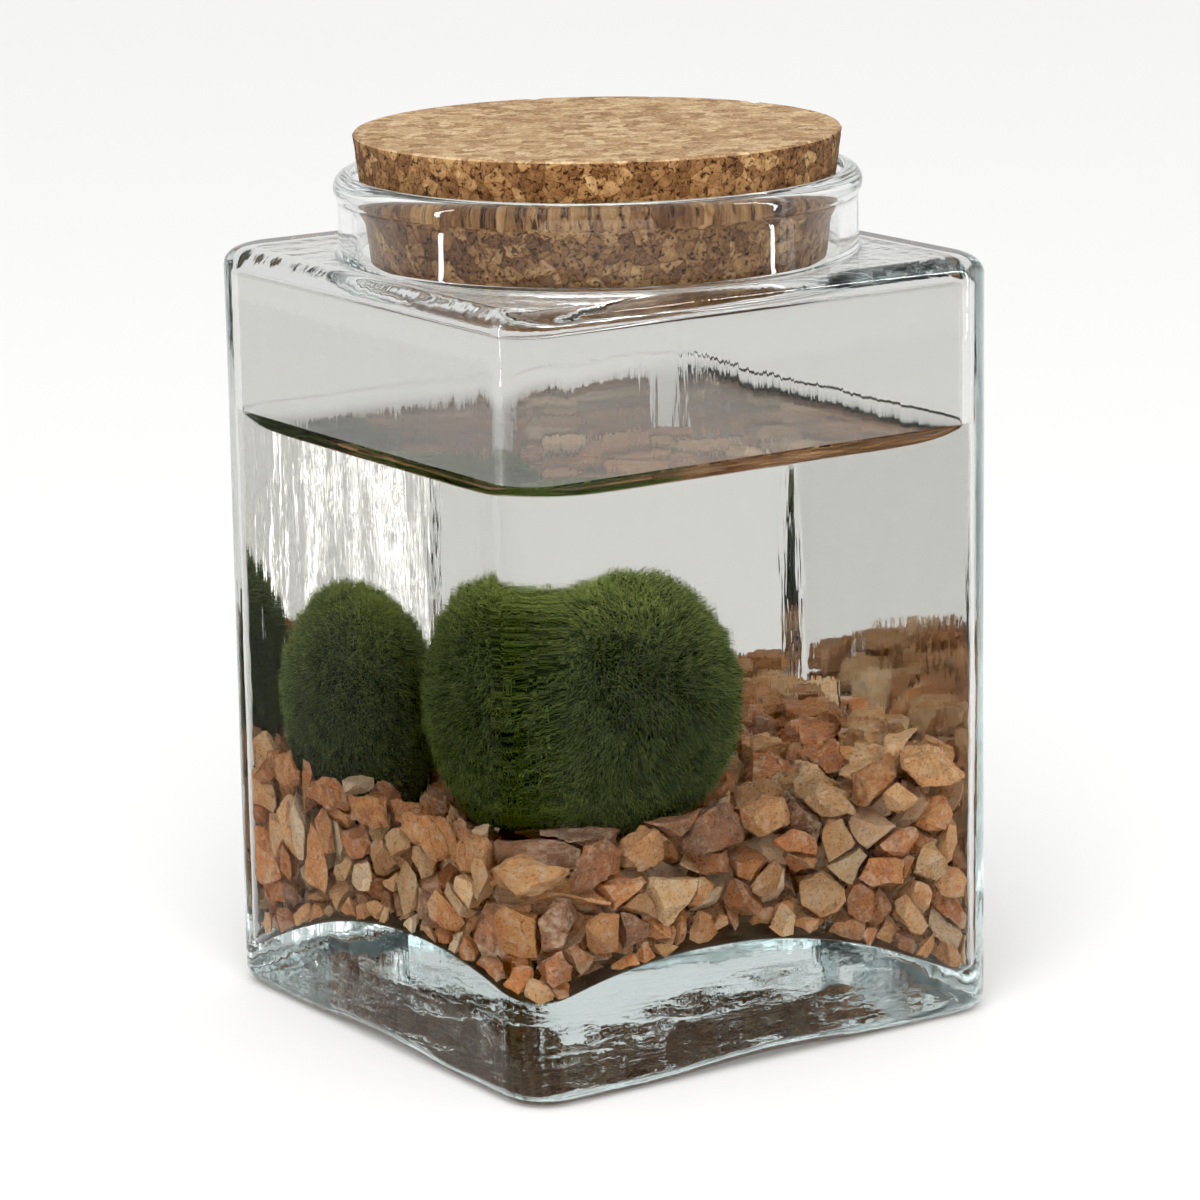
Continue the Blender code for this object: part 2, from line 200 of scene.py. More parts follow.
def waves(points, across, tall, seed):
    """Smooth noise between -1 and 1, with waves of one length across and another up and down."""
    flat = points.reshape(-1, 3)
    found = [noise.noise((x / across + seed, y / across - seed, z / tall + seed)) for x, y, z in flat]
    return np.array(found).reshape(points.shape[:-1] + (1,))


def ring_faces(rings, points, first=0):
    """Four-sided faces between rings of points, numbered from first on."""
    here = np.arange(points)
    ahead = (here + 1) % points
    faces = []
    for level in range(rings - 1):
        low = first + level * points
        high = low + points
        faces += np.stack([low + here, low + ahead, high + ahead, high + here], axis=1).tolist()
    return faces


def fan_faces(centre, start, points):
    return [(start + here, centre, start + (here + 1) % points) for here in range(points)]


def closed_rings(grid, first_centre, last_centre):
    """Points and faces of a stack of rings that a fan about a centre closes at either end."""
    rings, count, _ = grid.shape
    made = np.concatenate([grid.reshape(-1, 3), [first_centre, last_centre]])
    faces = ring_faces(rings, count)
    faces += fan_faces(len(made) - 2, 0, count)
    faces += fan_faces(len(made) - 1, (rings - 1) * count, count)
    return made, faces


def mesh_piece(name, points, faces, finish, smooth_angle=None):
    """A named piece of the object from arrays, with its finish, attached to the root body."""
    mesh = bpy.data.meshes.new(name)
    mesh.from_pydata([tuple(point) for point in points], [], faces)
    bm = bmesh.new()
    bm.from_mesh(mesh)
    bmesh.ops.recalc_face_normals(bm, faces=bm.faces)
    bm.to_mesh(mesh)
    bm.free()
    mesh.validate()
    mesh.materials.append(finish)
    mesh.shade_smooth()
    if smooth_angle:
        mesh.set_sharp_from_angle(angle=math.radians(smooth_angle))
    piece = bpy.data.objects.new(name, mesh)
    bpy.context.scene.collection.objects.link(piece)
    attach(piece, "root")
    return piece


def add_node(tree, kind, **values):
    """A shader node. A value is for an input of that name, or for the node's own setting."""
    node = tree.nodes.new("ShaderNode" + kind)
    for name, value in values.items():
        words = name.replace("_", " ")
        sockets = {socket.name.lower(): socket for socket in node.inputs}
        if words in sockets:
            sockets[words].default_value = value
        else:
            setattr(node, name, value)
    return node


def math_node(tree, operation, first, second):
    node = add_node(tree, "Math", operation=operation)
    for socket, value in zip(node.inputs, (first, second)):
        if isinstance(value, (int, float)):
            socket.default_value = value
        else:
            tree.links.new(value, socket)
    return node.outputs["Value"]


def add_bump(tree, shader, height, distance, strength=1.0):
    node = add_node(tree, "Bump", strength=strength, distance=distance)
    tree.links.new(height, node.inputs["Height"])
    tree.links.new(node.outputs["Normal"], shader.inputs["Normal"])


def ramp(tree, value, stops):
    """Colours along a value, given as (place, colour)."""
    node = add_node(tree, "ValToRGB")
    elements = node.color_ramp.elements
    while len(elements) < len(stops):
        elements.new(0.5)
    for element, (place, color) in zip(elements, stops):
        element.position = place
        element.color = (*color, 1)
    tree.links.new(value, node.inputs["Fac"])
    return node.outputs["Color"]


def clear_material(name, ior, tint, density):
    """A see-through finish whose thickness tints it. A face's ior attribute says how it bends light."""
    made = bpy.data.materials.new(name)
    made.use_nodes = True
    tree = made.node_tree
    shader = tree.nodes["Principled BSDF"]
    shader.inputs["Base Color"].default_value = (1, 1, 1, 1)
    shader.inputs["Transmission Weight"].default_value = 1.0
    shader.inputs["IOR"].default_value = ior
    for word, socket in (("ior", "IOR"), ("satin", "Roughness")):
        value = add_node(tree, "Attribute", attribute_name=word)
        tree.links.new(value.outputs["Fac"], shader.inputs[socket])
    absorb = add_node(tree, "VolumeAbsorption", color=(*tint, 1), density=density)
    tree.links.new(absorb.outputs["Volume"], tree.nodes["Material Output"].inputs["Volume"])
    return made, tree, shader


def set_faces(piece, word, values):
    """A value of its own for each face of a piece."""
    made = piece.data.attributes.new(word, "FLOAT", "FACE")
    made.data.foreach_set("value", values)


def stretched_noise(tree, stretch, scale, detail, roughness):
    """Noise in the object's own space, drawn out along its height or along its sides."""
    place = add_node(tree, "TexCoord")
    stretched = add_node(tree, "Mapping", scale=stretch)
    tree.links.new(place.outputs["Object"], stretched.inputs["Vector"])
    texture = add_node(tree, "TexNoise", scale=scale, detail=detail, roughness=roughness)
    tree.links.new(stretched.outputs["Vector"], texture.inputs["Vector"])
    return texture.outputs["Fac"]


RIPPLE_TOP = 24 * MM
RIPPLE_GROWTH = 110.0


def streaked(tree, shader):
    """Fine upright streaks in the drawn walls, and ripples and a hammered look low in the thick bottom."""
    place = add_node(tree, "TexCoord").outputs["Object"]
    height = add_node(tree, "SeparateXYZ")
    tree.links.new(place, height.inputs[0])
    upright = math_node(tree, "LESS_THAN", height.outputs["Z"], SHOULDER_Z - SHOULDER_EDGE)
    streak = math_node(tree, "MULTIPLY", stretched_noise(tree, (1, 1, 0.13), 300.0, 3.0, 0.5), upright)
    below = math_node(tree, "SUBTRACT", RIPPLE_TOP, height.outputs["Z"])
    low = math_node(tree, "MAXIMUM", math_node(tree, "MULTIPLY", below, RIPPLE_GROWTH), 0.0)
    ripple = math_node(tree, "MULTIPLY", stretched_noise(tree, (1, 1, 2.0), 58.0, 2.0, 0.45), 3.4)
    hammered = math_node(tree, "MULTIPLY", stretched_noise(tree, (1, 1, 1.6), 300.0, 2.0, 0.5), 0.22)
    relief = math_node(tree, "MULTIPLY", math_node(tree, "ADD", ripple, hammered), low)
    add_bump(tree, shader, math_node(tree, "ADD", streak, relief), 0.1 * MM)


BROAD_WAVE = 0.12 * MM
STREAK_WAVE = 0.08 * MM
FOOT_FADE = 10 * MM
SHOULDER_FADE = 14 * MM
GLASS_IOR = 1.5
GLASS_TINT = (0.70, 0.87, 0.88)
GLASS_DENSITY = 6.0
GLASS_BODY = (0.81, 0.805, 0.79)
NECK_BODY = (0.92, 0.92, 0.915)
WATER_IOR = 1.333
WALL_GLOSS = 0.15
NECK_GLOSS = 0.35
FOOT_GLOSS = 0.6
UNDER_SATIN = 0.01
WATER_CLIMB = 3.6 * MM
WATER_EDGE_RISE = 2.7 * MM
WATER_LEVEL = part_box("water")[1].z + WATER_EDGE_RISE - WATER_CLIMB
UNDER_SHARES = (0.1, 0.3, 0.5, 0.7, 0.85, 0.92)
under = [ring(JAR_HALF * share, JAR_CORNER * share, foot_arch) for share in UNDER_SHARES]
outer = []
for height, half, corner in outside_levels() + lip_levels():
    lift = max(0.0, 1 - height / (2.2 * FOOT_EDGE))
    outer.append(ring(half, corner, lambda x, y: height + lift * foot_arch(x, y)))
bore = [ring(half, corner, height) for height, half, corner in inside_levels()]
wall_top = bore[-1]
water_edge = ring(INNER_HALF, INNER_CORNER, WATER_LEVEL + WATER_CLIMB)
wall_foot = ring(INNER_HALF, INNER_CORNER, lambda x, y: glass_floor(x, y) + FLOOR_FILLET)
dry = [mixed(wall_top, water_edge, share) for share in np.linspace(0, 1, 16)[1:]]
wet = [mixed(water_edge, wall_foot, share) for share in np.linspace(0, 1, 56)[1:]]
floor = []
for turn in np.radians(np.linspace(0, 90, 6))[1:]:
    inward = FLOOR_FILLET * (1 - math.cos(turn))
    above = FLOOR_FILLET * (1 - math.sin(turn))
    corner = INNER_CORNER - 0.5 * inward
    floor.append(ring(INNER_HALF - inward, corner, lambda x, y: glass_floor(x, y) + above))
for share in np.linspace(0.94, 0.03, 28):
    floor.append(ring(INNER_HALF * share, INNER_CORNER * share, glass_floor))

grid = np.array(under + outer + bore + dry + wet + floor)
normals = outward(grid)
streaks = waves(grid, across=8 * MM, tall=42 * MM, seed=3.1)
broad = waves(grid, across=26 * MM, tall=60 * MM, seed=7.7)
fade = np.clip((grid[..., 2:] - 2 * FOOT_EDGE) / FOOT_FADE, 0, 1)
fade *= np.clip((SHOULDER_Z - SHOULDER_EDGE - grid[..., 2:]) / SHOULDER_FADE, 0, 1)
grid += normals * (BROAD_WAVE * broad + STREAK_WAVE * streaks) * fade
wet_start = len(under) + len(outer) + len(bore) + len(dry) - 1
wet_grid = grid[wet_start:]
wet_normals = normals[wet_start:]
points = len(ANGLES)
jar_points, jar_faces = closed_rings(grid, grid[0].mean(0), grid[-1].mean(0))
glass, glass_tree, glass_shader = clear_material("clear glass", GLASS_IOR, GLASS_TINT, GLASS_DENSITY)
streaked(glass_tree, glass_shader)
glass_height = add_node(glass_tree, "SeparateXYZ")
glass_tree.links.new(add_node(glass_tree, "TexCoord").outputs["Object"], glass_height.inputs[0])
of_height = math_node(glass_tree, "DIVIDE", glass_height.outputs["Z"], LIP_TOP)
for socket, stops in (
        ("Base Color", ((0.900, GLASS_BODY), (0.925, NECK_BODY))),
        ("Specular Tint", ((0.05, [FOOT_GLOSS] * 3), (0.16, [WALL_GLOSS] * 3),
                           (0.87, [WALL_GLOSS] * 3), (0.90, [NECK_GLOSS] * 3)))):
    glass_tree.links.new(ramp(glass_tree, of_height, stops), glass_shader.inputs[socket])
jar = mesh_piece("glass_jar", jar_points, jar_faces, glass)
is_wet = np.zeros(len(jar_faces), bool)
is_wet[wet_start * points:(len(grid) - 1) * points] = True
is_wet[-points:] = True
set_faces(jar, "ior", np.where(is_wet, GLASS_IOR / WATER_IOR, GLASS_IOR))
is_under = np.zeros(len(jar_faces), bool)
is_under[:len(under) * points] = True
is_under[-2 * points:-points] = True
set_faces(jar, "satin", np.where(is_under, UNDER_SATIN, 0.0))
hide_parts("jar")


# The water
# It fills the jar to two thirds and climbs the glass a little along its edge. Light that leaves it
# through the glass bends at the glass's own wet faces, so only its top surface bends light itself.

WATER_TINT = (0.74, 0.74, 0.70)
WATER_DENSITY = 1.3
CLIMB_WIDTH = 2.0 * MM
OFF_GLASS = 0.08 * MM
ROUND_MIDDLE = 12 * MM

surface = []
for away in np.concatenate([np.linspace(0, 5, 16), np.linspace(5, 45, 12)[1:]]) * MM:
    half = INNER_HALF - OFF_GLASS - away
    climb = WATER_CLIMB * math.exp(-away / CLIMB_WIDTH)
    corner = max(INNER_CORNER + 2 * away, 0.1 * half) if away < ROUND_MIDDLE else 0.6 * half
    surface.append(ring(half, corner, WATER_LEVEL + climb))
below = wet_grid[1:] + wet_normals[1:] * OFF_GLASS
water_grid = np.array(surface[::-1] + list(below))
water_points, water_faces = closed_rings(water_grid, water_grid[0].mean(0), water_grid[-1].mean(0))
clear_water, _, _ = clear_material("clear water", WATER_IOR, WATER_TINT, WATER_DENSITY)
water = mesh_piece("water_body", water_points, water_faces, clear_water)
is_top = np.zeros(len(water_faces), bool)
is_top[:(len(surface) - 1) * points] = True
is_top[-2 * points:-points] = True
set_faces(water, "ior", np.where(is_top, WATER_IOR, 1.0))
set_faces(water, "satin", np.zeros(len(water_faces)))
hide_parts("water")


# The gravel
# Crushed stone chips, tan to orange brown, 5 to 14 mm across. The top layer's chips are cut and worn
# down from the frame's stones, and the chips under it are packed between the glass and that layer.

GRAVEL_TONES = (
    (0.00, (0.36, 0.195, 0.120)),
    (0.15, (0.50, 0.255, 0.150)),
    (0.32, (0.66, 0.265, 0.100)),
    (0.50, (0.78, 0.400, 0.175)),
    (0.72, (0.84, 0.490, 0.235)),
    (0.88, (0.90, 0.610, 0.340)),
    (1.00, (0.94, 0.750, 0.510)),
)
STONE_SPECK = (0.36, 0.28, 0.23)
STONE_DUST = (0.86, 0.68, 0.50)


def grain(tree, scale, detail=4.0, roughness=0.6, distortion=0.0):
    """Noise in the object's own space, with scale in lumps per metre."""
    place = add_node(tree, "TexCoord")
    texture = add_node(tree, "TexNoise", scale=scale, detail=detail, roughness=roughness,
                       distortion=distortion)
    tree.links.new(place.outputs["Object"], texture.inputs["Vector"])
    return texture.outputs["Fac"]


def swing(tree, value, reach):
    """A value that rests at 0.5, as a push of up to half the reach either way."""
    return math_node(tree, "MULTIPLY", math_node(tree, "SUBTRACT", value, 0.5), reach)


def mix_colors(tree, share, first, second, blend="MIX"):
    node = add_node(tree, "Mix", data_type="RGBA", blend_type=blend)
    for socket, value in zip((node.inputs[0], node.inputs[6], node.inputs[7]), (share, first, second)):
        if isinstance(value, (int, float)):
            socket.default_value = value
        elif isinstance(value, tuple):
            socket.default_value = (*value, 1)
        else:
            tree.links.new(value, socket)
    return node.outputs[2]


def dull_material(name, roughness, ior):
    """A matt finish and its shader, whose colour the caller links."""
    made = bpy.data.materials.new(name)
    made.use_nodes = True
    shader = made.node_tree.nodes["Principled BSDF"]
    shader.inputs["Roughness"].default_value = roughness
    shader.inputs["IOR"].default_value = ior
    return made, made.node_tree, shader


def stone_material():
    """Each chip has its own tone, and is mottled, veined and speckled within it."""
    made, tree, shader = dull_material("gravel stone", 0.62, 1.22)
    tone = add_node(tree, "Attribute", attribute_name="tone").outputs["Fac"]
    mottled = math_node(tree, "ADD", tone, swing(tree, grain(tree, 330, 6, 0.68), 0.85))
    body = ramp(tree, mottled, GRAVEL_TONES)
    speck = ramp(tree, grain(tree, 1900, 3, 0.65), ((0.32, STONE_SPECK), (0.47, (1, 1, 1))))
    body = mix_colors(tree, 0.8, body, speck, "MULTIPLY")
    edge = add_node(tree, "NewGeometry").outputs["Pointiness"]
    worn = math_node(tree, "ADD", grain(tree, 700, 5, 0.7), swing(tree, edge, 1.4))
    dusty = ramp(tree, worn, ((0.50, (0, 0, 0)), (0.72, (0.62, 0.62, 0.62))))
    body = mix_colors(tree, dusty, body, STONE_DUST)
    shade = add_node(tree, "Attribute", attribute_name="shade").outputs["Fac"]
    pale = add_node(tree, "HueSaturation")
    tree.links.new(shade, pale.inputs["Value"])
    tree.links.new(body, pale.inputs["Color"])
    tree.links.new(pale.outputs["Color"], shader.inputs["Base Color"])
    fine = math_node(tree, "MULTIPLY", grain(tree, 3400, 3), 0.35)
    add_bump(tree, shader, math_node(tree, "ADD", grain(tree, 900, 6, 0.65), fine), 0.8 * MM)
    return made


gravel_stone = stone_material()
chance = np.random.default_rng(11)
GRAVEL_LEVEL = 48.3 * MM
GRAVEL_SLOPE = (0.075, 0.045)
MOUND_SPOT = (15 * MM, 42 * MM)
MOUND_SPREAD = 26 * MM
MOUND_RISE = 4.5 * MM


def gravel_top(x, y):
    """Height of the gravel's surface, which rises to the back and the right."""
    away = (x - MOUND_SPOT[0]) ** 2 + (y - MOUND_SPOT[1]) ** 2
    mound = np.exp(-away / (2 * MOUND_SPREAD**2))
    return GRAVEL_LEVEL + GRAVEL_SLOPE[0] * x + GRAVEL_SLOPE[1] * y + MOUND_RISE * mound


def corners_within(normals, reaches):
    """Corners of the convex body whose points stay within reach along each normal."""
    three = np.array(list(itertools.combinations(range(len(normals)), 3)))
    systems = normals[three]
    three = three[abs(np.linalg.det(systems)) > 0.03]
    found = np.linalg.solve(normals[three], reaches[three][..., None])[..., 0]
    return found[(found @ normals.T <= reaches + 1e-8).all(axis=1)]


def random_ways(count):
    ways = chance.normal(size=(count, 3))
    return ways / np.linalg.norm(ways, axis=1, keepdims=True)


WORN_EDGE = 0.15 * MM
CORNER_MERGE = 0.5 * MM


def worn_chip(corners, edge, step, rough):
    """A chip's points and triangles: the hull of the corners, with worn edges and a broken surface."""
    bm = bmesh.new()
    for point in corners:
        bm.verts.new(point)
    bmesh.ops.remove_doubles(bm, verts=bm.verts, dist=CORNER_MERGE)
    hull = bmesh.ops.convex_hull(bm, input=bm.verts)
    spare = [item for item in hull["geom_interior"] if isinstance(item, bmesh.types.BMVert)]
    bmesh.ops.delete(bm, geom=spare, context="VERTS")
    bmesh.ops.dissolve_limit(bm, angle_limit=math.radians(4), verts=bm.verts, edges=bm.edges)
    if edge:
        bmesh.ops.bevel(bm, geom=bm.edges, offset=edge, segments=1, affect="EDGES", clamp_overlap=True)
    bmesh.ops.triangulate(bm, faces=bm.faces)
    for _ in range(3):
        long = [line for line in bm.edges if line.calc_length() > step]
        bmesh.ops.subdivide_edges(bm, edges=long, cuts=1)
        bmesh.ops.triangulate(bm, faces=bm.faces)
    bm.normal_update()
    moved = []
    for vert in bm.verts:
        broad = noise.noise(vert.co * 300)
        ledge = 1 - 3 * abs(noise.noise(vert.co * 210 + Vector((4, 9, 2))))
        fine = noise.noise(vert.co * 900)
        relief = 0.8 * broad + 0.5 * fine - 0.7 * max(ledge, -0.3) - 0.5
        moved.append(vert.co + vert.normal * rough * relief)
    faces = [[vert.index for vert in face.verts] for face in bm.faces]
    bm.free()
    return np.array(moved), faces


def chip_tone():
    """Most chips are tan, some orange brown or grey brown, and a few pale."""
    tone = float(np.clip(chance.normal(0.52, 0.25), 0.02, 0.97))
    return tone, float(chance.uniform(0.84, 1.32))


def joined_chips(name, chips):
    """One piece from many chips, each with its own tone and shade."""
    start = 0
    all_points = []
    all_faces = []
    tones = []
    shades = []
    for chip_points, chip_faces, (tone, shade) in chips:
        all_points.append(chip_points)
        all_faces += [[start + corner for corner in face] for face in chip_faces]
        tones += [tone] * len(chip_points)
        shades += [shade] * len(chip_points)
        start += len(chip_points)
    piece = mesh_piece(name, np.concatenate(all_points), all_faces, gravel_stone, smooth_angle=19)
    for word, values in (("tone", tones), ("shade", shades)):
        made = piece.data.attributes.new(word, "FLOAT", "POINT")
        made.data.foreach_set("value", values)
    return piece


WALL_WAYS = np.array([(1, 0, 0), (-1, 0, 0), (0, 1, 0), (0, -1, 0)], float)
CORNER_WAYS = np.array([(1, 1, 0), (1, -1, 0), (-1, 1, 0), (-1, -1, 0)], float) / math.sqrt(2)
OFF_CORNER = 0.5 * MM
CORNER_REACH = INNER_HALF * math.sqrt(2) - (math.sqrt(2) - 1) * INNER_CORNER - OFF_CORNER
LUMP_ALLOWANCE = 1.012
BALL_NODES = ("moss_ball_large", "moss_ball_small")
balls = []
rises = []
for node in BALL_NODES:
    low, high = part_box(node)
    radius = LUMP_ALLOWANCE * (high.x - low.x) / 2
    centre = np.array([(low.x + high.x) / 2, (low.y + high.y) / 2, low.z + radius])
    balls.append((centre, radius))
    rises.append((high.z - centre[2]) / radius)


SPLIT_SHARES = (0.42, 0.70)
CHIPPED_SHARES = (0.55, 0.92)


def cut_stone(node):
    """A stone of the frame, split along two near parallel planes and chipped all round, as planes."""
    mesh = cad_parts[node].data
    points = np.array([vert.co for vert in mesh.vertices])
    ways = []
    reaches = []
    for face in mesh.polygons:
        normal = np.array(face.normal)
        if not any(normal @ other > 0.9995 for other in ways):
            ways.append(normal)
            reaches.append(normal @ points[face.vertices[0]])
    flat = random_ways(1)[0] * (1, 1, 0.8)
    flat /= np.linalg.norm(flat)
    lean = random_ways(1)[0] * 0.15
    cuts = np.concatenate([[flat + lean, lean - flat], random_ways(8)])
    cuts /= np.linalg.norm(cuts, axis=1, keepdims=True)
    middle = points.mean(0) @ cuts.T
    kept = np.concatenate([chance.uniform(*SPLIT_SHARES, 2), chance.uniform(*CHIPPED_SHARES, 8)])
    cut_reaches = middle + ((points @ cuts.T).max(0) - middle) * kept
    return (np.concatenate([ways, cuts, CORNER_WAYS]),
            np.concatenate([reaches, cut_reaches, np.full(len(CORNER_WAYS), CORNER_REACH)]))


top_nodes = sorted(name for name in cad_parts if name.startswith("gravel_stone_"))
top_bodies = []
for node in top_nodes:
    ways, reaches = cut_stone(node)
    top_bodies.append((ways, reaches))
    shape = worn_chip(corners_within(ways, reaches), WORN_EDGE, 0.9 * MM, 0.75 * MM)
    stone = joined_chips(node.replace("gravel_stone", "top_chip"), [(*shape, chip_tone())])
    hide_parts(node)

CHIP_PITCH = 6.3 * MM
CHIP_AXES = np.array([5.6, 3.9, 2.4]) * MM
CHIP_LAYERS = 11
CHIP_SIZES = (0.75, 1.3)
LAYER_RISE = 0.85
GRIT_COUNT = 22
GRIT_SIZES = (0.55, 0.75)
GRIT_RISES = (1.2, 1.9)
GRIT_LAYER = 3.4 * MM
CHIP_DEPTH = 1.3 * MM
OFF_STONE = 1.0 * MM
SHAKE = 0.4


def is_off_glass(spot, from_walls, from_corners):
    """Whether a place in plan lies that far inside the walls and the rounded corners."""
    is_off_walls = abs(spot).max() < INNER_HALF - from_walls
    return is_off_walls and (CORNER_WAYS[:, :2] @ spot).max() < CORNER_REACH - from_corners


def is_free(spot):
    """Whether a chip's middle would lie within the bed, off the balls and the top stones."""
    if not glass_floor(*spot[:2]) + GRIT_LAYER < spot[2] < gravel_top(*spot[:2]) - CHIP_DEPTH:
        return False
    if any(np.linalg.norm(spot - centre) < radius + CHIP_DEPTH for centre, radius in balls):
        return False
    return all((ways @ spot - reaches).max() >= OFF_STONE for ways, reaches in top_bodies)


def chip_seeds():
    """Middles and sizes of the chips: small ones along the glass floor, then a shaken lattice."""
    found = []
    sizes = []
    for column, row in itertools.product(range(GRIT_COUNT), repeat=2):
        cell = np.array([column, row]) + 0.5 + chance.uniform(-SHAKE, SHAKE, 2)
        spot = cell * 2 * INNER_HALF / GRIT_COUNT - INNER_HALF
        if is_off_glass(spot, from_walls=1.1 * MM, from_corners=1.0 * MM):
            found.append(np.array([*spot, glass_floor(*spot) + chance.uniform(*GRIT_RISES) * MM]))
            sizes.append(chance.uniform(*GRIT_SIZES))
    count = int(2 * INNER_HALF / CHIP_PITCH) + 1
    for column, row, layer in itertools.product(range(count), range(count), range(CHIP_LAYERS)):
        odd = 0.5 * (layer % 2)
        cell = np.array([column + odd, row + odd, LAYER_RISE * layer])
        spot = cell + 0.25 + chance.uniform(-SHAKE, SHAKE, 3)
        spot = spot * CHIP_PITCH + (-INNER_HALF, -INNER_HALF, FLOOR_LEAST)
        if is_off_glass(spot[:2], from_walls=1.4 * MM, from_corners=1.2 * MM) and is_free(spot):
            found.append(spot)
            sizes.append(chance.uniform(*CHIP_SIZES))
    return np.array(found), np.array(sizes)


NEIGHBOUR_REACH = 13 * MM
NEIGHBOURS = 23
CHIP_GAP = 0.2 * MM
WALL_GAP = 0.3 * MM
FLOOR_GAP = 0.25 * MM
TOP_GAP = 0.2 * MM
BALL_GAP = 0.4 * MM
WALL_TOUCH = 5 * MM
SLOPE_STEP = 0.5 * MM


def neighbour_planes(number):
    """Between two chips lies one plane, which both of them keep to. It follows the flats of both."""
    here = seeds[number]
    away = np.linalg.norm(seeds - here, axis=1)
    for other in np.argsort(away)[1:NEIGHBOURS + 1]:
        if away[other] > NEIGHBOUR_REACH:
            break
        way = (seeds[other] - here) / away[other]
        reach = 1 / math.sqrt(way @ metrics[number] @ way)
        other_reach = 1 / math.sqrt(way @ metrics[other] @ way)
        normal = (metrics[number] + metrics[other]) @ way
        normal /= np.linalg.norm(normal)
        meeting = here + way * away[other] * reach / (reach + other_reach)
        yield normal, normal @ meeting - CHIP_GAP / 2


def boundary_planes(seed):
    """What the chip rests against: the glass, the gravel's surface, the balls and the top stones."""
    for way in WALL_WAYS:
        room = INNER_HALF - WALL_GAP - way @ seed
        yield way, way @ seed + room
        if room < WALL_TOUCH:
            touch = seed + way * room + chance.uniform(-1.2, 1.2, 3) * MM * (1 - abs(way))
            for turned in way + 0.45 * random_ways(3) * (1 - abs(way)):
                turned = turned / np.linalg.norm(turned)
                yield turned, turned @ touch
    for way in CORNER_WAYS:
        yield way, CORNER_REACH
    x, y = seed[:2]
    for sign, height, gap in ((-1, glass_floor, FLOOR_GAP), (1, gravel_top, TOP_GAP)):
        level = height(x, y)
        rise_x = (height(x + SLOPE_STEP, y) - level) / SLOPE_STEP
        rise_y = (height(x, y + SLOPE_STEP) - level) / SLOPE_STEP
        way = sign * np.array([-rise_x, -rise_y, 1]) / math.hypot(rise_x, rise_y, 1)
        yield way, way @ (x, y, level) - gap
    for centre, radius in balls:
        way = (centre - seed) / np.linalg.norm(centre - seed)
        yield way, way @ centre - radius - BALL_GAP
    for ways, reaches in top_bodies:
        distances = ways @ seed - reaches
        nearest = int(np.argmax(distances))
        yield -ways[nearest], -reaches[nearest] - CHIP_GAP


def own_planes(number):
    """The chip's own broken faces: two flats across its thin way, and some askew."""
    seed = seeds[number]
    thin = turns[number][:, 2]
    ways = np.concatenate([[thin, -thin], random_ways(7)])
    supports = np.sqrt(np.einsum("ij,jk,ik->i", ways, np.linalg.inv(metrics[number]), ways))
    shares = np.concatenate([chance.uniform(0.85, 1.2, 2), chance.uniform(0.75, 1.15, 7)])
    return zip(ways, ways @ seed + supports * shares)


TOP_LAYER = 4 * MM
DETAIL_DEPTH = 6.5 * MM
DETAIL_STEP = 3.2 * MM
HIDDEN_STEP = 20 * MM
BED_ROUGH = 0.55 * MM
FARTHEST_FACE = 11 * MM
LEAST_ROOM = 0.5 * MM
LEAST_CHIP = 1.5 * MM


def is_in_sight(seed):
    """Whether a chip lies close behind the glass, over the floor or under the top layer."""
    behind_wall = INNER_HALF - abs(seed[:2]).max()
    under_top = gravel_top(*seed[:2]) - seed[2] - TOP_LAYER
    over_floor = seed[2] - glass_floor(*seed[:2])
    return min(behind_wall, under_top, over_floor) < DETAIL_DEPTH


seeds, sizes = chip_seeds()
turns = np.linalg.qr(chance.normal(size=(len(seeds), 3, 3)))[0]
scales = sizes[:, None] * CHIP_AXES
metrics = np.einsum("nij,nj,nkj->nik", turns, scales**-2.0, turns)
chips = []
for number, seed in enumerate(seeds):
    planes = list(neighbour_planes(number)) + list(boundary_planes(seed)) + list(own_planes(number))
    planes = [(way, reach) for way, reach in planes if reach - way @ seed < FARTHEST_FACE]
    ways = np.array([way for way, _ in planes])
    reaches = np.array([reach for _, reach in planes])
    if (reaches - ways @ seed).min() < LEAST_ROOM:
        continue
    corners = corners_within(ways, reaches)
    if len(corners) < 6 or np.ptp(corners, axis=0).min() < LEAST_CHIP:
        continue
    edge, step = (WORN_EDGE, DETAIL_STEP) if is_in_sight(seed) else (0, HIDDEN_STEP)
    chips.append((*worn_chip(corners, edge, step, BED_ROUGH), chip_tone()))
bed = joined_chips("gravel_chips", chips)
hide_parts("gravel_bed")


# The moss balls
# Each is one ball of green algae: a dense heart under a velvet of fine filaments, combed in swirls by the
# water. Their colour holds painted shade and light: the heart and the roots dark as painted shade deep in
# the velvet, the tips olive as painted light caught by them, and the top of each ball paler as painted light
# from above.

FILAMENTS = 48500
FILAMENT_WIDTH = 0.18 * MM
FILAMENT_LENGTHS = (2.2, 4.6)
FILAMENT_LEANS = (4, 52)
COMBED_DOWN = (0, 0, -0.55)
BALL_LUMPS = 1.1 * MM
TUFT_DEPTH = 1.2 * MM
FUZZ = 1.8 * MM
CORE_SINK = 0.8 * MM
TIP_PROUD = 1.15 * MM
STRAY_SHARE = 0.04
STRAY_PROUD = 0.8 * MM
OFF_WALL = 0.25 * MM
# Painted light: how much paler the filaments over the top of each ball are coloured, as if lit from above
PAINTED_TOP_LIGHT = 0.36
SWIRL_SEED = 7
# Colours from root to tip: the dark roots are painted shade and the olive tips painted light
MOSS_TONES = (
    (0.00, (0.008, 0.012, 0.007)),
    (0.35, (0.034, 0.047, 0.028)),
    (0.62, (0.092, 0.122, 0.062)),
    (0.85, (0.23, 0.29, 0.075)),
    (1.00, (0.46, 0.53, 0.14)),
)


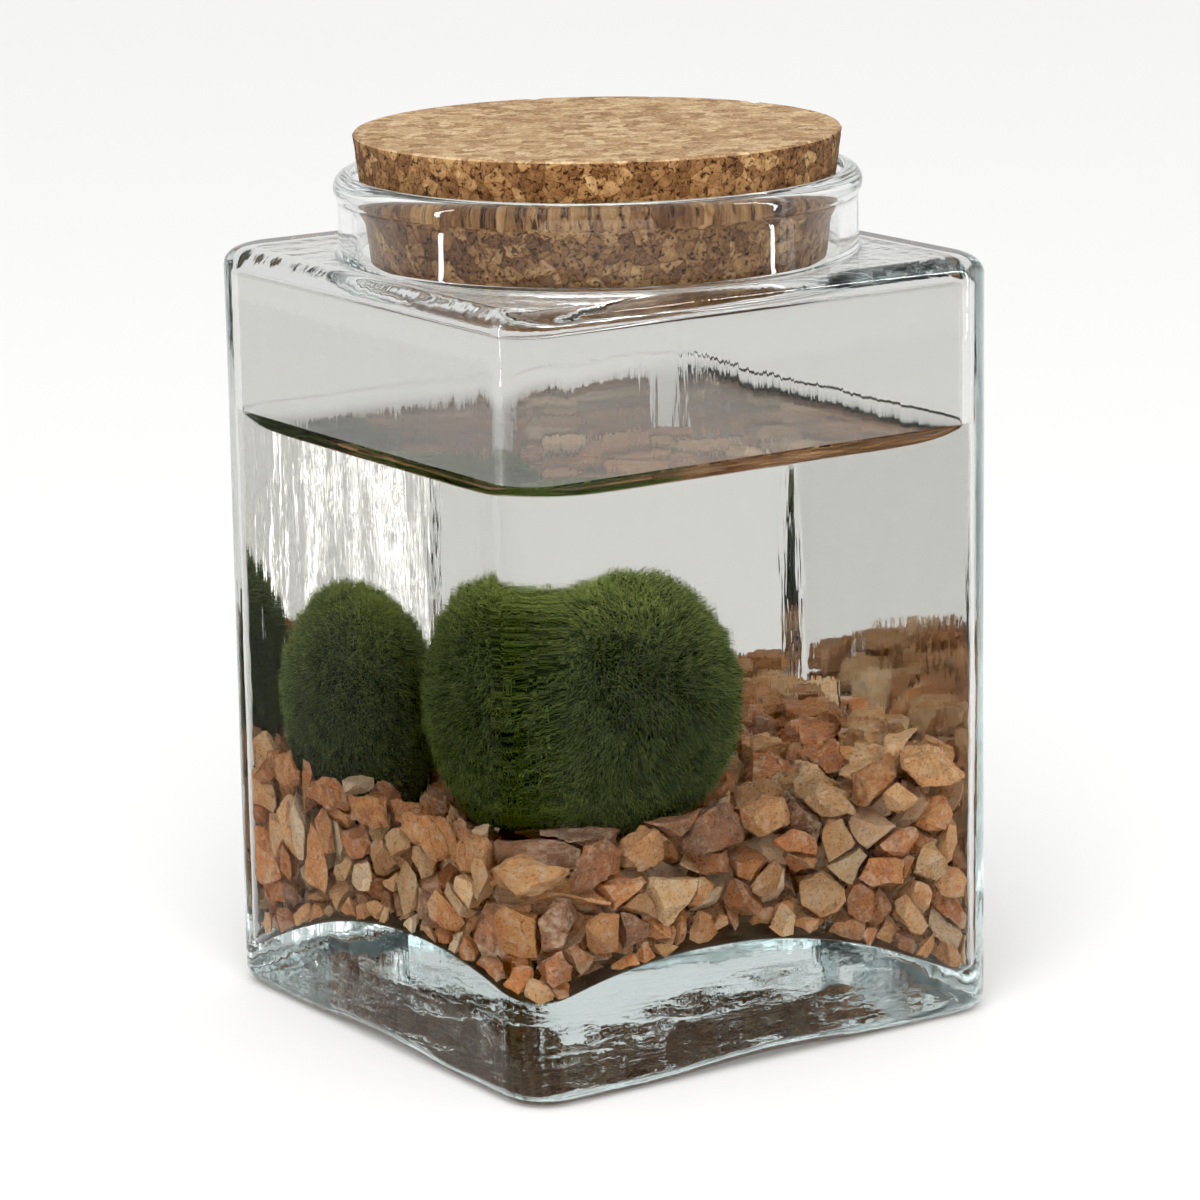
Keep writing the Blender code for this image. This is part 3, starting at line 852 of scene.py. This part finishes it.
def moss_surface(ways, radius, shift):
    """How far the velvet's tips reach in each direction."""
    reach = []
    for way in ways:
        way = Vector(way)
        lump = noise.noise(way * 1.6 + shift) + 0.5 * noise.noise(way * 4 + shift)
        tuft = 0.5 + 1.1 * noise.noise(way * 6 - shift) + 0.7 * noise.noise(way * 15 + shift)
        short = 0.6 * BALL_LUMPS * min(max(0.5 - lump, 0.0), 1.0) + TUFT_DEPTH * min(max(tuft, 0.0), 1.0)
        reach.append(radius + TIP_PROUD - short)
    return np.array(reach)


def moss_core(radius, shift):
    """Points and triangles of the dense heart, about the ball's middle."""
    bm = bmesh.new()
    bmesh.ops.create_icosphere(bm, subdivisions=4, radius=1)
    ways = np.array([vert.co.normalized() for vert in bm.verts])
    faces = [[vert.index for vert in face.verts] for face in bm.faces]
    bm.free()
    reach = moss_surface(ways, radius, shift) - FUZZ - CORE_SINK
    return ways * reach[:, None], faces


def combed(ways, shift):
    """The way each filament is combed along the surface: in loose swirls, and down with its weight."""
    swirl = np.array([noise.noise_vector(Vector(way) * 1.3 + shift) for way in ways]) + COMBED_DOWN
    swirl += 0.6 * random_ways(FILAMENTS)
    swirl -= ways * (swirl * ways).sum(1)[:, None]
    swirl /= np.linalg.norm(swirl, axis=1, keepdims=True)
    return swirl


def moss_filaments(ways, radius, shift):
    """Four points of each filament, three at its root and its tip, about the ball's middle."""
    reach = moss_surface(ways, radius, shift)
    swirl = combed(ways, shift)
    lean = np.radians(chance.uniform(*FILAMENT_LEANS, FILAMENTS))[:, None]
    length = chance.uniform(*FILAMENT_LENGTHS, FILAMENTS)[:, None] * MM
    direction = ways * np.cos(lean) + swirl * np.sin(lean)
    tip_reach = reach[:, None] - FUZZ * chance.uniform(0, 1, FILAMENTS)[:, None] ** 0.75
    strays = chance.uniform(0, 1, FILAMENTS)[:, None] < STRAY_SHARE
    tip_reach += strays * chance.uniform(0.2, 1, FILAMENTS)[:, None] * STRAY_PROUD
    root = ways * tip_reach - direction * length * np.cos(lean) ** 0.2
    tip = root + direction * length
    over = np.linalg.norm(tip, axis=1, keepdims=True) / tip_reach
    tip /= np.maximum(over, 1)
    side = np.cross(direction, random_ways(FILAMENTS))
    side /= np.linalg.norm(side, axis=1, keepdims=True)
    other = np.cross(direction, side)
    width = FILAMENT_WIDTH * chance.uniform(0.7, 1.3, FILAMENTS)[:, None] / 2
    corners = [root + width * (side * math.cos(turn) + other * math.sin(turn)) for turn in (0, 2.1, 4.2)]
    return np.stack(corners + [tip], axis=1).reshape(-1, 3)


def moss_material(name):
    """Dark at the root and olive at the tip, by each point's depth attribute, as painted shade and painted
    light, and uneven all over.
    """
    made, tree, shader = dull_material(name, 0.8, 1.1)
    depth = add_node(tree, "Attribute", attribute_name="depth").outputs["Fac"]
    value = math_node(tree, "ADD", depth, swing(tree, grain(tree, 1500, 2, 0.5), 0.5))
    value = math_node(tree, "ADD", value, swing(tree, grain(tree, 170, 4, 0.6), 0.45))
    tree.links.new(ramp(tree, value, MOSS_TONES), shader.inputs["Base Color"])
    shader.inputs["Sheen Weight"].default_value = 0.5
    shader.inputs["Sheen Roughness"].default_value = 0.5
    shader.inputs["Sheen Tint"].default_value = (0.45, 0.60, 0.16, 1)
    return made


moss = moss_material("green algae")
noise.seed_set(SWIRL_SEED)
for node, (centre, radius), rise, shift in zip(BALL_NODES, balls, rises, (3, 8)):
    shift = Vector((shift, 2 * shift, -shift))
    core_points, core_faces = moss_core(radius, shift)
    ways = random_ways(FILAMENTS)
    ball_points = np.concatenate([core_points, moss_filaments(ways, radius, shift)])
    ball_points[:, 2] *= np.where(ball_points[:, 2] > 0, rise, 1)
    ball_points += centre
    ball_points[:, :2] = np.clip(ball_points[:, :2], OFF_WALL - INNER_HALF, INNER_HALF - OFF_WALL)
    first = len(core_points) + 4 * np.arange(FILAMENTS)[:, None, None]
    strand_faces = (first + np.array([(0, 1, 3), (1, 2, 3), (2, 0, 3), (0, 2, 1)])).reshape(-1, 3)

    mesh = bpy.data.meshes.new(node)
    mesh.from_pydata(ball_points.tolist(), [], core_faces + strand_faces.tolist())
    mesh.materials.append(moss)
    mesh.shade_smooth()
    # Painted light from above: filaments over the top of each ball get a paler, more olive colour
    painted_top_light_share = PAINTED_TOP_LIGHT * np.clip(ways[:, 2], 0, 1) ** 2
    strand_tone_and_painted_light = chance.uniform(-0.15, 0.2, FILAMENTS) + painted_top_light_share
    # The depth attribute: the heart and the roots dark as painted shade, the tips olive as painted light
    depth = np.concatenate([
        np.full(len(core_points), 0.1),
        np.tile((0.0, 0.0, 0.0, 0.9), FILAMENTS) + np.repeat(strand_tone_and_painted_light, 4),
    ])
    made = mesh.attributes.new("depth", "FLOAT", "POINT")
    made.data.foreach_set("value", depth)
    ball = bpy.data.objects.new(node.replace("moss_ball", "marimo"), mesh)
    bpy.context.scene.collection.objects.link(ball)
    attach(ball, "root")
    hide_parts(node)


# The stopper
# A tapered disc of pressed cork granules, sanded smooth on top, with pits and dark bark specks along
# its side. It sits in the neck by its taper.

CORK_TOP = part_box("cork_stopper")[1].z
CORK_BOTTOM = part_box("cork_stopper")[0].z
CORK_TOP_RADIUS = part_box("cork_stopper")[1].x
CORK_BOTTOM_RADIUS = 39.6 * MM
CORK_EDGE = 0.5 * MM
CORK_FLAT_BOTTOM = CORK_BOTTOM_RADIUS - CORK_EDGE
CORK_FLAT_TOP = 42.1 * MM
CORK_MIDDLE = 1.0 * MM
CORK_TURNS = 420


def cork_profile():
    """Radius and height of the stopper's levels, from the middle of the bottom to the middle of the top."""
    slope = (CORK_TOP_RADIUS - CORK_BOTTOM_RADIUS) / (CORK_TOP - CORK_BOTTOM)
    levels = [(radius, CORK_BOTTOM) for radius in np.linspace(CORK_MIDDLE, CORK_FLAT_BOTTOM, 14)]
    for height in np.linspace(CORK_BOTTOM + CORK_EDGE, CORK_TOP - CORK_EDGE, 52):
        levels.append((CORK_BOTTOM_RADIUS + slope * (height - CORK_BOTTOM), height))
    levels += [(radius, CORK_TOP) for radius in np.linspace(CORK_FLAT_TOP, CORK_MIDDLE, 46)]
    return levels


def granule_relief(point, is_side):
    """How deep the surface lies below the stopper's outline: torn granules on the side, and pits."""
    torn = 0.5 + 0.5 * noise.noise(point * 420) + 0.3 * noise.noise(point * 1100)
    pit = max(0.0, noise.noise(point * 260 + Vector((5, 3, 1))) - (0.42 if is_side else 0.55))
    if is_side:
        return (0.22 * torn + 2.6 * pit) * MM
    return (0.04 * torn + 1.6 * pit) * MM


cork_points = []
for radius, height in cork_profile():
    is_side = CORK_BOTTOM + CORK_EDGE <= height <= CORK_TOP - CORK_EDGE
    for turn in np.arange(CORK_TURNS) * 2 * math.pi / CORK_TURNS:
        point = Vector((radius * math.cos(turn), radius * math.sin(turn), height))
        depth = granule_relief(point, is_side)
        if is_side:
            point.xy *= 1 - depth / radius
        elif height == CORK_TOP:
            point.z -= depth
        cork_points.append(point)
cork_grid = np.array(cork_points).reshape(-1, CORK_TURNS, 3)
cork_points, cork_faces = closed_rings(cork_grid, (0, 0, CORK_BOTTOM), (0, 0, CORK_TOP))

CORK_GRANULES = 380.0
CORK_SIDE_TONES = (
    (0.20, (0.105, 0.046, 0.016)),
    (0.42, (0.195, 0.096, 0.035)),
    (0.62, (0.285, 0.156, 0.061)),
    (0.85, (0.430, 0.268, 0.122)),
)
CORK_TOP_TONES = (
    (0.22, (0.24, 0.130, 0.058)),
    (0.42, (0.39, 0.250, 0.127)),
    (0.60, (0.48, 0.335, 0.185)),
    (0.82, (0.61, 0.460, 0.285)),
)
BARK_SPECK = (0.13, 0.08, 0.05)
SEAM_SHADE = (0.58, 0.48, 0.38)
SANDED_DEPTH = 0.35 * MM


def cork_material():
    """Granules of several tones with seams between them, and dark bark specks. The top is sanded paler."""
    made, tree, shader = dull_material("pressed cork", 0.85, 1.35)
    place = add_node(tree, "TexCoord").outputs["Object"]
    wobble = add_node(tree, "TexNoise", scale=700.0, detail=2.0)
    tree.links.new(place, wobble.inputs["Vector"])
    bent = add_node(tree, "VectorMath", operation="MULTIPLY_ADD")
    tree.links.new(wobble.outputs["Color"], bent.inputs[0])
    bent.inputs[1].default_value = (0.0009, 0.0009, 0.0009)
    tree.links.new(place, bent.inputs[2])
    cells = add_node(tree, "TexVoronoi", scale=CORK_GRANULES)
    seams = add_node(tree, "TexVoronoi", scale=CORK_GRANULES, feature="DISTANCE_TO_EDGE")
    for texture in (cells, seams):
        tree.links.new(bent.outputs[0], texture.inputs["Vector"])
    single = add_node(tree, "SeparateColor")
    tree.links.new(cells.outputs["Color"], single.inputs[0])
    granule = swing(tree, single.outputs[0], 0.5)
    side_value = math_node(tree, "ADD", grain(tree, 700, 5, 0.65), granule)
    side = ramp(tree, side_value, CORK_SIDE_TONES)
    fainter = math_node(tree, "MULTIPLY", granule, 0.9)
    top_value = math_node(tree, "ADD", grain(tree, 1100, 5, 0.75), fainter)
    top = ramp(tree, top_value, CORK_TOP_TONES)
    height = add_node(tree, "SeparateXYZ")
    tree.links.new(place, height.inputs[0])
    sanded = math_node(tree, "GREATER_THAN", height.outputs["Z"], CORK_TOP - SANDED_DEPTH)
    color = mix_colors(tree, sanded, side, top)
    bark = ramp(tree, grain(tree, 1150, 3, 0.62, 0.7), ((0.38, BARK_SPECK), (0.47, (1, 1, 1))))
    seam = ramp(tree, seams.outputs["Distance"], ((0.0, SEAM_SHADE), (0.07, (1, 1, 1))))
    dark = mix_colors(tree, 1.0, bark, seam, "MULTIPLY")
    share = math_node(tree, "SUBTRACT", 0.95, math_node(tree, "MULTIPLY", sanded, 0.5))
    color = mix_colors(tree, share, color, dark, "MULTIPLY")
    tree.links.new(color, shader.inputs["Base Color"])
    add_bump(tree, shader, grain(tree, 1900, 4, 0.7), 0.3 * MM, 0.7)
    return made


cork = mesh_piece("cork_disc", cork_points, cork_faces, cork_material(), smooth_angle=50)
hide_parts("cork_stopper")


# The studio
# A pale floor in a pale room, with a large softbox above the camera and a weak sun for a soft shadow.
# Narrow lamps beside the jar stand in its neck as bright lines, and in its left face as streaks.


def plain_material(name, color):
    made, tree, shader = dull_material(name, 0.9, 1.4)
    shader.inputs["Base Color"].default_value = (*color, 1)
    return made


def stage_sheet(name, corners, finish):
    mesh = bpy.data.meshes.new(name)
    mesh.from_pydata(corners, [], [(0, 1, 2, 3)])
    mesh.materials.append(finish)
    sheet = bpy.data.objects.new(name, mesh)
    bpy.context.scene.collection.objects.link(sheet)
    sheet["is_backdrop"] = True
    return sheet


FLOOR_REACH = 6.0
FLOOR_Z = -0.1 * MM
SQUARE = ((-1, -1), (1, -1), (1, 1), (-1, 1))
floor_corners = [(x * FLOOR_REACH, y * FLOOR_REACH, FLOOR_Z) for x, y in SQUARE]
stage_sheet("studio_floor", floor_corners, plain_material("pale floor", (0.80, 0.80, 0.795)))

# A grey flag beside the jar, which only reflections see, keeps the pale floor out of its left face
FLAG_X = -75 * MM
FLAG_FRONT = -60 * MM
FLAG_BACK = 300 * MM
FLAG_TOP = 118 * MM
flag_outline = ((FLAG_FRONT, 0), (FLAG_BACK, 0), (FLAG_BACK, FLAG_TOP), (FLAG_FRONT, FLAG_TOP))
flag_corners = [(FLAG_X, y, z) for y, z in flag_outline]
flag = stage_sheet("grey_flag", flag_corners, plain_material("grey cloth", (0.50, 0.50, 0.50)))
flag.visible_camera = False
flag.visible_diffuse = False
flag.visible_transmission = False
flag.visible_volume_scatter = False
flag.visible_shadow = False

world = bpy.data.worlds.new("pale room")
bpy.context.scene.world = world
world.use_nodes = True
background = world.node_tree.nodes["Background"]
background.inputs["Color"].default_value = (1.0, 1.0, 0.99, 1)
background.inputs["Strength"].default_value = 0.86


def soft_lamp(name, azimuth, facing, distance, width, tall, middle, radiance, tilt=90):
    """A lamp by the jar. Azimuth 0 is in front of it and 90 on its right, and facing is its own turn."""
    lamp = bpy.data.lights.new(name, "AREA")
    lamp.shape = "RECTANGLE"
    lamp.size = width
    lamp.size_y = tall
    lamp.energy = radiance * math.pi * width * tall
    turn = math.radians(azimuth)
    holder = bpy.data.objects.new(name, lamp)
    holder.location = (distance * math.sin(turn), -distance * math.cos(turn), middle)
    holder.rotation_euler = (math.radians(tilt), 0, math.radians(facing))
    holder.visible_camera = False
    bpy.context.scene.collection.objects.link(holder)
    return holder


STRIP_TALL = 0.50
window = soft_lamp("right window", azimuth=48.5, facing=34, distance=0.178,
                   width=0.012, tall=0.50, middle=0.255, radiance=2.4)
window.visible_diffuse = False
front = soft_lamp("front softbox", azimuth=-34, facing=-34, distance=1.1,
                  width=1.2, tall=1.2, middle=0.62, radiance=3.4, tilt=65)
front.visible_glossy = False
for name, azimuth, distance, width, foot, radiance in (
        ("right strip", 42, 0.285, 0.010, 0.080, 56.0), ("left strip", -104, 0.55, 0.025, 0.019, 50.0)):
    strip = soft_lamp(name, azimuth, azimuth, distance, width, STRIP_TALL, foot + STRIP_TALL / 2, radiance)
    strip.visible_transmission = False
    strip.visible_diffuse = False
overhead = bpy.data.lights.new("overhead light", "SUN")
overhead.energy = 0.9
overhead.angle = math.radians(50)
overhead_holder = bpy.data.objects.new("overhead light", overhead)
overhead_holder.rotation_euler = (math.radians(20), math.radians(-25), 0)
bpy.context.scene.collection.objects.link(overhead_holder)

LENS = 150.8
AIM = Vector((4.8, 8.6, 70.2)) * MM
CAMERA_DISTANCE = 0.9
CAMERA_AZIMUTH = math.radians(-33.80)
CAMERA_ELEVATION = math.radians(13.0)
CAMERA_ROLL = math.radians(-0.95)
camera_data = bpy.data.cameras.new("camera")
camera_data.lens = LENS
camera_data.sensor_width = 36.0
camera_data.clip_start = 0.05
camera = bpy.data.objects.new("camera", camera_data)
turned = Matrix.Rotation(CAMERA_AZIMUTH, 3, "Z") @ Matrix.Rotation(math.pi / 2 - CAMERA_ELEVATION, 3, "X")
turned = turned @ Matrix.Rotation(CAMERA_ROLL, 3, "Z")
camera.rotation_euler = turned.to_euler()
camera.location = AIM + turned @ Vector((0, 0, CAMERA_DISTANCE))
bpy.context.scene.collection.objects.link(camera)
bpy.context.scene.camera = camera

BLACK_LEVEL = 0.012
cycles = bpy.context.scene.cycles
cycles.max_bounces = 20
cycles.diffuse_bounces = 3
cycles.glossy_bounces = 16
cycles.transmission_bounces = 18
cycles.use_denoising = True
cycles.sample_clamp_indirect = 6.0
cycles.adaptive_threshold = 0.1
view = bpy.context.scene.view_settings
view.view_transform = "Standard"
view.use_curve_mapping = True
view.curve_mapping.black_level = (BLACK_LEVEL, BLACK_LEVEL, BLACK_LEVEL)
view.curve_mapping.update()

sizes = {"cad": [list(corner) for corner in cad_box], "visual": [list(corner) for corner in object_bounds()]}
